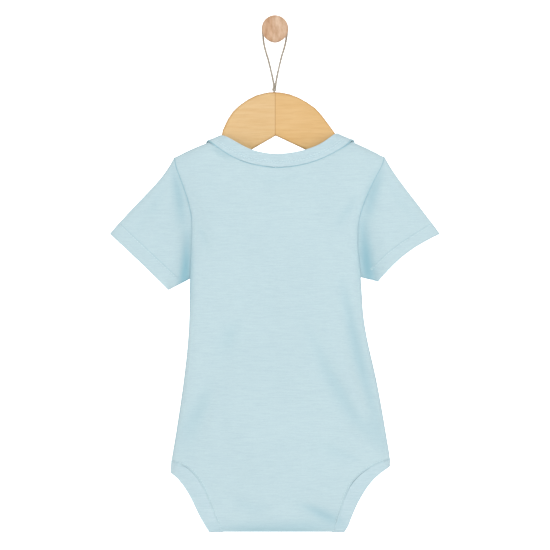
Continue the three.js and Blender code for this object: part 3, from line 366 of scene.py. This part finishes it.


# The hanger's right half is warmer, its halves join in a thin dark line, and shade painted on its edges makes
# them the darkest
HANGER_RIGHT_HALF = (0.0902, 0.09)
HANGER_JOIN_LINE = (0.0002, 0.00035)
tree = HANGER_WOOD.node_tree
over_colour(HANGER_WOOD, band_of_x(tree, *HANGER_RIGHT_HALF), (0.99, 0.935, 0.81, 1))
over_colour(HANGER_WOOD, band_of_x(tree, *HANGER_JOIN_LINE), (0.72, 0.6, 0.45, 1))
# Painted shade on the edges: darker where the surface turns from the front and back towards the sides, top
# and bottom
normals = tree.nodes.new("ShaderNodeNewGeometry")
split = tree.nodes.new("ShaderNodeSeparateXYZ")
tree.links.new(normals.outputs["Normal"], split.inputs[0])
edge = tree.nodes.new("ShaderNodeMath")
edge.operation = "ABSOLUTE"
tree.links.new(split.outputs["Y"], edge.inputs[0])
varnish_and_painted_edge_shade = ramp(tree, edge.outputs[0], [(0.45, (0.74, 0.6, 0.44, 1)), (0.9, (1, 1, 1, 1))])
over_colour(HANGER_WOOD, 1.0, varnish_and_painted_edge_shade)

# The peg is darker on the left
PEG_DARK_PART = (-0.0275, 0.025)
tree = PEG_WOOD.node_tree
over_colour(PEG_WOOD, band_of_x(tree, *PEG_DARK_PART), (0.94, 0.88, 0.82, 1))

THREAD_MATERIAL, _, _ = new_material("thread", srgb(216, 236, 241), 0.8)
SNAP_PLASTIC, snap_tree, snap_shader = new_material("snap_plastic", srgb(220, 231, 234), 0.32)
bump(snap_tree, snap_shader, noise(snap_tree, (900, 900, 900)), 0.08, 0.0001)
TWINE_FIBRE, twine_tree, twine_shader = new_material("twine_fibre", srgb(182, 172, 157), 0.95)
twine_colour = ramp(
    twine_tree, noise(twine_tree, (1400, 1400, 700), 3.0),
    [(0.35, srgb(152, 141, 125)), (0.65, srgb(205, 197, 183))],
)
twine_tree.links.new(twine_colour, twine_shader.inputs["Base Color"])
bump(twine_tree, twine_shader, noise(twine_tree, (2200, 2200, 900), 2.0), 0.5, 0.0003)


# Meshes

def piece(name, mesh, material, replaced=()):
    mesh.materials.clear()
    mesh.materials.append(material)
    made = bpy.data.objects.new(name, mesh)
    bpy.context.scene.collection.objects.link(made)
    for polygon in mesh.polygons:
        polygon.use_smooth = True
    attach(made, "root")
    if replaced:
        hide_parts(*replaced)
    return made


def welded(node_name):
    """A welded copy of a CAD node's mesh, to work on."""
    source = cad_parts[node_name]
    work = bmesh.new()
    work.from_mesh(source.data)
    work.transform(source.matrix_world)
    bmesh.ops.remove_doubles(work, verts=work.verts, dist=WELD_DISTANCE)
    return work


def mesh_of(work, name):
    """The finished mesh of a work mesh, which is freed."""
    mesh = bpy.data.meshes.new(name)
    work.to_mesh(mesh)
    work.free()
    return mesh


def skin(work, rings):
    """Faces over a row of rings of points, and a cap at each end."""
    for a, b in zip(rings, rings[1:]):
        for k in range(len(a)):
            after = (k + 1) % len(a)
            work.faces.new((a[k], b[k], b[after], a[after]))
    work.faces.new(rings[0][::-1])
    work.faces.new(rings[-1])


def quads_of(node_name, join_angle, rim_crease=0.0):
    """A CAD node's mesh with its triangles joined into quads, and its rims kept sharp."""
    work = welded(node_name)
    bmesh.ops.join_triangles(
        work, faces=work.faces, angle_face_threshold=math.radians(join_angle),
        angle_shape_threshold=math.radians(60),
    )
    if rim_crease:
        layer = work.edges.layers.float.get("crease_edge") or work.edges.layers.float.new("crease_edge")
        for edge in work.edges:
            if edge.calc_face_angle(0) > math.radians(RIM_ANGLE):
                edge[layer] = rim_crease
    return mesh_of(work, node_name + "_form")


def subdivided(mesh, levels):
    carrier = bpy.data.objects.new("carrier", mesh)
    bpy.context.scene.collection.objects.link(carrier)
    modifier = carrier.modifiers.new("smooth", "SUBSURF")
    modifier.levels = levels
    modifier.render_levels = levels
    graph = bpy.context.evaluated_depsgraph_get()
    smooth = bpy.data.meshes.new_from_object(carrier.evaluated_get(graph))
    bpy.data.objects.remove(carrier)
    return smooth


def crease_offset(x, z, creases):
    """How far creases move the cloth out at points of x and z, in mm."""
    total = np.zeros_like(x)
    for crease in creases:
        line = np.array(crease["line"], float)
        best = np.full_like(x, 1e9)
        share = np.zeros_like(x)
        steps = len(line) - 1
        for i in range(steps):
            (ax, az), (bx, bz) = line[i], line[i + 1]
            dx, dz = bx - ax, bz - az
            t = np.clip(((x - ax) * dx + (z - az) * dz) / (dx * dx + dz * dz), 0, 1)
            away = np.hypot(x - ax - t * dx, z - az - t * dz)
            closer = away < best
            best = np.where(closer, away, best)
            share = np.where(closer, (i + t) / steps, share)
        fade = np.sin(np.pi * np.clip(0.08 + 0.84 * share, 0, 1)) ** 0.8
        width = crease["spread"] * (0.75 + 0.5 * share)
        total += crease["height"] * fade * np.exp(-((best / width) ** 2))
    return total


def waviness(x, z):
    """A slow unevenness of hanging cloth, in mm."""
    return (
        0.22 * np.sin(x / 23.0 + 0.9 * np.sin(z / 61.0)) * np.sin(z / 47.0 + 1.3)
        + 0.12 * np.sin(x / 11.0 + z / 29.0) * np.sin(z / 17.0 - x / 40.0)
    )


def crumpled(points):
    """Points of the cloth, in mm, moved along y by the creases, and how much shade is painted on each, more
    the deeper it lies in a crease's trough. Both faces of a wall move together."""
    x, y, z = points.T
    face = np.where(y < MIDDLE_Y, -1.0, 1.0)
    offset = waviness(x, z)
    for side in (-1, 1):
        own = crease_offset(x, z, [c for c in CREASES if c["face"] in (side, 0)])
        offset = offset + np.where(face == side, own, 0)
    hold = np.clip((np.abs(y - MIDDLE_Y) - 1.0) / EDGE_FADE, 0, 1)
    moved = points.copy()
    moved[:, 1] = y + face * np.maximum(offset, -DEEPEST) * hold * hold * (3 - 2 * hold)
    # The shade painted on each point grows with the depth of its trough
    return moved, np.clip(-offset / SHADED_DEPTH, 0, 1) ** 1.5


def note_shade(mesh, values):
    """Keeps how much shade is painted on each point of a cloth mesh, for the cloth's material."""
    mesh.attributes.new("painted_shade", "FLOAT", "POINT").data.foreach_set("value", values)


def crumple(mesh):
    """Moves a mesh's points by the creases, and notes how much shade is painted on each from how deep in a
    fold it lies.
    """
    points = np.empty(len(mesh.vertices) * 3)
    mesh.vertices.foreach_get("co", points)
    moved, shade = crumpled(points.reshape(-1, 3) / MM)
    mesh.vertices.foreach_set("co", (moved * MM).ravel())
    note_shade(mesh, shade)
    mesh.update()


cloth_pieces = {}
for row in CLOTH:
    form = subdivided(quads_of(row["node"], CLOTH_JOIN_ANGLE, RIM_CREASE), row["levels"])
    crumple(form)
    material = JERSEY if row["slot"] == "jersey" else RIB
    made = piece(row["node"] + "_cloth", form, material, [row["node"]])
    cloth_pieces[row["node"]] = made


# Seams: a strip that closes the join of two sewn pieces, a little below the cloth's face

def seam_points(own, others, reach, thickness):
    """Middle points of the gap between a piece and its neighbours, with the gap's width there, in mm, and the
    direction out through the cloth."""
    joined = bmesh.new()
    for name in others:
        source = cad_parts[name]
        copy = source.data.copy()
        copy.transform(source.matrix_world)
        joined.from_mesh(copy)
        bpy.data.meshes.remove(copy)
    tree = BVHTree.FromBMesh(joined)
    joined.free()
    work = welded(own)
    middles = {}
    for vertex in work.verts:
        near, _, _, distance = tree.find_nearest(vertex.co)
        if distance < reach * MM:
            middles[vertex.index] = ((vertex.co + near) / (2 * MM), distance / MM)
    found = []
    for edge in work.edges:
        a, b = (v.index for v in edge.verts)
        through_wall = abs(edge.calc_length() / MM - thickness) < WALL_TOLERANCE * thickness
        if a in middles and b in middles and through_wall:
            across = (edge.verts[1].co - edge.verts[0].co).normalized()
            place = (middles[a][0] + middles[b][0]) / 2
            outward = across if across.dot(Vector((0, place.y - MIDDLE_Y, 6))) > 0 else -across
            found.append((place, (middles[a][1] + middles[b][1]) / 2, outward))
    work.free()
    return found


def chained(found, jump):
    """Points put in order from one end, each after its nearest; a long jump starts a new line."""
    left = sorted(found, key=lambda f: -sum((f[0] - g[0]).length for g in found))
    lines = []
    while left:
        line = [left.pop(0)]
        while left:
            nearest = min(left, key=lambda f: (f[0] - line[-1][0]).length)
            if (nearest[0] - line[-1][0]).length > jump:
                break
            left.remove(nearest)
            line.append(nearest)
        if len(line) > 2:
            lines.append(line)
    return lines


def smooth_line(points, samples):
    result = []
    for i in range(len(points) - 1):
        a, b = points[i], points[i + 1]
        before, after = points[max(i - 1, 0)], points[min(i + 2, len(points) - 1)]
        for k in range(samples):
            t = k / samples
            result.append(0.5 * (
                2 * a + (b - before) * t + (2 * before - 5 * a + 4 * b - after) * t * t
                + (3 * a - before - 3 * b + after) * t ** 3
            ))
    return result + [points[-1]]


def tube(work, points, radius, sides=6):
    rings = []
    side = Vector((0, 1, 0))
    for i, point in enumerate(points):
        along = (points[min(i + 1, len(points) - 1)] - points[max(i - 1, 0)]).normalized()
        side = (side - along * side.dot(along)).normalized()
        up = along.cross(side)
        rings.append([
            work.verts.new(point + side * radius * math.cos(a) + up * radius * math.sin(a))
            for a in (2 * math.pi * k / sides for k in range(sides))
        ])
    skin(work, rings)


def filler(work, points, outwards, widths, depth):
    """A strip with an oval section that fills a seam: widths across it, depth through the cloth, in mm."""
    rings = []
    for i, point in enumerate(points):
        along = (points[min(i + 1, len(points) - 1)] - points[max(i - 1, 0)]).normalized()
        out = (outwards[i] - along * outwards[i].dot(along)).normalized()
        across = along.cross(out)
        rings.append([
            work.verts.new(point + out * (depth * MM * math.cos(a)) + across * (widths[i] * MM * math.sin(a)))
            for a in (2 * math.pi * k / STRIP_CORNERS for k in range(STRIP_CORNERS))
        ])
    skin(work, rings)


def around(found):
    """Points of a closed, flattened loop in order round its middle, with the first one again at the end."""
    middle = sum((f[0] for f in found), Vector()) / len(found)
    tall = max(abs(f[0].z - middle.z) for f in found)
    deep = max(abs(f[0].y - middle.y) for f in found)
    turned = sorted(found, key=lambda f: math.atan2((f[0].y - middle.y) / deep, (f[0].z - middle.z) / tall))
    return turned + turned[:1]


for row in SEAMS:
    work = bmesh.new()
    shades = []
    found = seam_points(row["own"], row["others"], row["reach"], row["thickness"])
    for line in [around(found)] if row["closed"] else chained(found, CHAIN_JUMP):
        places, _ = crumpled(np.array([list(place) for place, _, _ in line]))
        points = smooth_line([Vector(place) * MM for place in places], STRIP_STEPS)
        outwards = [line[0][2]]
        for _, _, outward in line[1:]:
            outwards.append(outward if outward.dot(outwards[-1]) > 0 else -outward)
        marks = np.arange(len(points)) / STRIP_STEPS
        knots = np.arange(len(line))
        widths = np.interp(marks, knots, [row["fill"] + gap / 2 for _, gap, _ in line])
        turned = [np.interp(marks, knots, [outward[k] for outward in outwards]) for k in range(3)]
        filler(work, points, [Vector(t) for t in zip(*turned)], widths, row["depth"])
        # Painted shade along the seam's line, fading out where the strip is wide
        for width in widths:
            shades += [row["shade"] * max(0, min(1, UNSHADED_WIDTH - width))] * STRIP_CORNERS
    bmesh.ops.recalc_face_normals(work, faces=work.faces)
    mesh = mesh_of(work, row["name"])
    note_shade(mesh, shades)
    piece(row["name"], mesh, JERSEY)


# Stitches: short threads laid on the cloth along each row

def surface_of(names):
    work = bmesh.new()
    for name in names:
        work.from_mesh(cloth_pieces[name].data)
    tree = BVHTree.FromBMesh(work)
    work.free()
    return tree


def thread_mesh(work, start, end, normal):
    """One stitch: a thread that rises out of the cloth and sinks back in."""
    along = end - start
    side = along.cross(normal).normalized()
    rings = []
    for i in range(5):
        t = i / 4
        lift = THREAD * MM * (0.75 * math.sin(math.pi * t) - 0.28)
        radius = THREAD * MM * (0.3 + 0.25 * math.sin(math.pi * t))
        centre = start + along * t + normal * lift
        rings.append([
            work.verts.new(centre + side * (radius * math.cos(a)) + normal * (radius * math.sin(a)))
            for a in (k * math.pi / 3 for k in range(6))
        ])
    skin(work, rings)


def even_points(line, pitch):
    points = [Vector((x, 0, z)) for x, z in line]
    lengths = [(b - a).length for a, b in zip(points, points[1:])]
    total = sum(lengths)
    places = []
    for k in range(int(total / pitch) + 1):
        left = k * pitch
        i = 0
        while i < len(lengths) - 1 and left > lengths[i]:
            left -= lengths[i]
            i += 1
        places.append(points[i].lerp(points[i + 1], min(1, left / lengths[i])))
    return places


cloth_surface = surface_of(list(cloth_pieces))


def on_cloth(point, face):
    origin = Vector((point.x * MM, (MIDDLE_Y + face * RAY_START) * MM, point.z * MM))
    place, normal, _, _ = cloth_surface.ray_cast(origin, Vector((0, -face, 0)))
    if place is None:
        return None
    if normal.y * face < 0:
        normal = -normal
    return place, normal


for row in STITCHES:
    work = bmesh.new()
    for face in row["faces"]:
        places = even_points(row["line"], STITCH_PITCH)
        if "ridge" in row:
            turned = [on_cloth(p + Vector(row["ridge"]), face) for p in places]
            points = [hit[0] - hit[1] * HEM_SUNK * MM for hit in turned if hit]
            ridge_work = bmesh.new()
            tube(ridge_work, points, HEM_RIDGE * MM, 8)
            ridge_mesh = mesh_of(ridge_work, "hem")
            # The turned edge gets a little painted shade
            note_shade(ridge_mesh, [HEM_SHADE] * len(ridge_mesh.vertices))
            piece(row["name"] + ("_edge_back" if face < 0 else "_edge_front"), ridge_mesh, JERSEY)
        for a, b in zip(places, places[1:]):
            tip = a.lerp(b, STITCH_LENGTH / STITCH_PITCH)
            hits = on_cloth(a, face), on_cloth(tip, face)
            if None in hits or (hits[0][0] - hits[1][0]).length > 2 * STITCH_PITCH * MM:
                continue
            thread_mesh(work, hits[0][0], hits[1][0], hits[0][1])
    bmesh.ops.recalc_face_normals(work, faces=work.faces)
    piece(row["name"], mesh_of(work, row["name"]), THREAD_MATERIAL)


# The twine: three strands twisted round the loop's middle line, and its knot

def loop_line(samples):
    over = [
        (TWINE_ROUND * math.cos(t), TWINE_ROUND * math.sin(t))
        for t in (math.pi * (1.04 - 1.08 * i / 12) for i in range(13))
    ]
    path = [Vector((x, MIDDLE_Y, z)) for x, z in TWINE_LEFT + over + TWINE_RIGHT]
    for i, forward in ((0, -0.8), (1, -0.5), (-2, 0.5), (-1, 0.8)):
        path[i].y += forward
    return smooth_line(path, samples)


def twisted(work, points, strands, offset, radius, twist):
    """Strands that wind round a line of points in metres. The other lengths are in mm."""
    lengths = [0.0]
    for a, b in zip(points, points[1:]):
        lengths.append(lengths[-1] + (b - a).length)
    for s in range(strands):
        path = []
        side = Vector((0, 1, 0))
        for i, point in enumerate(points):
            along = (points[min(i + 1, len(points) - 1)] - points[max(i - 1, 0)]).normalized()
            side = (side - along * side.dot(along)).normalized()
            up = along.cross(side)
            angle = 2 * math.pi * (s / strands + lengths[i] / (twist * MM))
            path.append(point + (side * math.cos(angle) + up * math.sin(angle)) * (offset * MM))
        tube(work, path, radius * MM)


work = bmesh.new()
line = [p * MM for p in loop_line(LOOP_STEPS)]
twisted(work, line, **LOOP_STRANDS)
knot_x, knot_z = TWINE_KNOT
for tilt, height, size in KNOT_TURNS:
    ring = []
    for k in range(KNOT_STEPS + 1):
        a = 2 * math.pi * k / KNOT_STEPS
        ring.append(Vector((
            (knot_x + size * math.cos(a)) * MM, (MIDDLE_Y + size * 0.85 * math.sin(a)) * MM,
            (knot_z + height + tilt * size * math.cos(a)) * MM,
        )))
    twisted(work, ring, **KNOT_STRANDS)
tail = [Vector((knot_x * MM, MIDDLE_Y * MM, (knot_z - z) * MM)) for z in range(TAIL_LENGTH + 1)]
twisted(work, tail, **TAIL_STRANDS)
bmesh.ops.recalc_face_normals(work, faces=work.faces)
piece("twine_strands", mesh_of(work, "twine_strands"), TWINE_FIBRE, ["twine"])


# Hanger and peg: the CAD forms with smooth shading. The snaps stay as they are.

def shaded(node_name, angle):
    mesh = quads_of(node_name, WOOD_JOIN_ANGLE)
    work = bmesh.new()
    work.from_mesh(mesh)
    for edge in work.edges:
        edge.smooth = edge.calc_face_angle(0) < math.radians(angle)
    work.to_mesh(mesh)
    work.free()
    return mesh


def frame_node(name, material):
    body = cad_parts[name]
    body.data.materials.clear()
    body.data.materials.append(material)


HANGER_SHARP_ANGLE = 32
PEG_SHARP_ANGLE = 40
piece("hanger_board", shaded("hanger", HANGER_SHARP_ANGLE), HANGER_WOOD, ["hanger"])
piece("wall_peg_turned", shaded("wall_peg", PEG_SHARP_ANGLE), PEG_WOOD, ["wall_peg"])
for name in ("snap_left", "snap_middle", "snap_right"):
    frame_node(name, SNAP_PLASTIC)


# Stage, light and camera

def plane(name, corners, material):
    mesh = bpy.data.meshes.new(name)
    mesh.from_pydata(corners, [], [(0, 1, 2, 3)])
    mesh.materials.append(material)
    made = bpy.data.objects.new(name, mesh)
    bpy.context.scene.collection.objects.link(made)
    return made


FLOOR_Z = -0.9
FLOOR_REACH = 3
BACKDROP_Y = 3.6
BACKDROP_HALF_WIDTH = 1
BACKDROP_BOTTOM = -1.6
BACKDROP_TOP = 1.2
BACKDROP_STRENGTH = 1.2
WORLD_STRENGTH = 0.44
FLOOR_PAINT, _, _ = new_material("floor_paint", srgb(250, 250, 250), 0.9)
plane("floor", [
    (-FLOOR_REACH, -FLOOR_REACH, FLOOR_Z), (FLOOR_REACH, -FLOOR_REACH, FLOOR_Z),
    (FLOOR_REACH, BACKDROP_Y, FLOOR_Z), (-FLOOR_REACH, BACKDROP_Y, FLOOR_Z),
], FLOOR_PAINT)

# A lit white backdrop, far enough back to stand behind a camera that looks at the garment's front
BACKDROP_PAINT, _, shader = new_material("backdrop_paint", srgb(255, 255, 255), 0.9)
shader.inputs["Emission Color"].default_value = (1, 1, 1, 1)
shader.inputs["Emission Strength"].default_value = BACKDROP_STRENGTH
backdrop = plane("backdrop", [
    (-BACKDROP_HALF_WIDTH, BACKDROP_Y, BACKDROP_BOTTOM), (BACKDROP_HALF_WIDTH, BACKDROP_Y, BACKDROP_BOTTOM),
    (BACKDROP_HALF_WIDTH, BACKDROP_Y, BACKDROP_TOP), (-BACKDROP_HALF_WIDTH, BACKDROP_Y, BACKDROP_TOP),
], BACKDROP_PAINT)

# It is only what the camera sees behind the garment, so it lends no glow to the cloth's edges
backdrop.visible_diffuse = False
backdrop.visible_glossy = False

world = bpy.data.worlds.new("studio")
world.use_nodes = True
world.node_tree.nodes["Background"].inputs["Color"].default_value = (1, 1, 1, 1)
world.node_tree.nodes["Background"].inputs["Strength"].default_value = WORLD_STRENGTH
bpy.context.scene.world = world


def area_light(name, place, target, size, power):
    data = bpy.data.lights.new(name, "AREA")
    data.shape = "DISK"
    data.size = size
    data.energy = power
    made = bpy.data.objects.new(name, data)
    made.location = place
    made.rotation_euler = (Vector(target) - Vector(place)).to_track_quat("-Z", "Y").to_euler()
    bpy.context.scene.collection.objects.link(made)


CENTRE = (0, -0.03, -0.25)

# Each light: its name, place, width and power. All of them look at the garment's middle.
for name, place, size, power in (
    ("key", (-0.3, -2.4, 0.5), 0.8, 16.5),
    ("fill", (0.9, -2.0, 0.1), 1.0, 6),
    ("front_fill", (0.4, 2.4, 0.6), 1.2, 26),
    ("top", (0, -0.2, 1.7), 1.0, 6),
    ("side_left", (-1.8, -0.5, -0.3), 1.0, 4.5),
    ("side_right", (1.8, -0.5, -0.3), 1.0, 4.5),
):
    area_light(name, place, CENTRE, size, power)

lens_data = bpy.data.cameras.new("photo_camera")
lens_data.sensor_width = 36
lens_data.sensor_fit = "HORIZONTAL"
lens_data.lens = 36 * CAMERA_DISTANCE_MM / VIEW_WIDTH_MM
camera = bpy.data.objects.new("photo_camera", lens_data)
camera.location = (CAMERA_X_MM * MM, (MIDDLE_Y - CAMERA_DISTANCE_MM) * MM, CAMERA_Z_MM * MM)
camera.rotation_euler = (math.radians(90), 0, 0)
bpy.context.scene.collection.objects.link(camera)
bpy.context.scene.camera = camera
bpy.context.scene.view_settings.view_transform = "Standard"
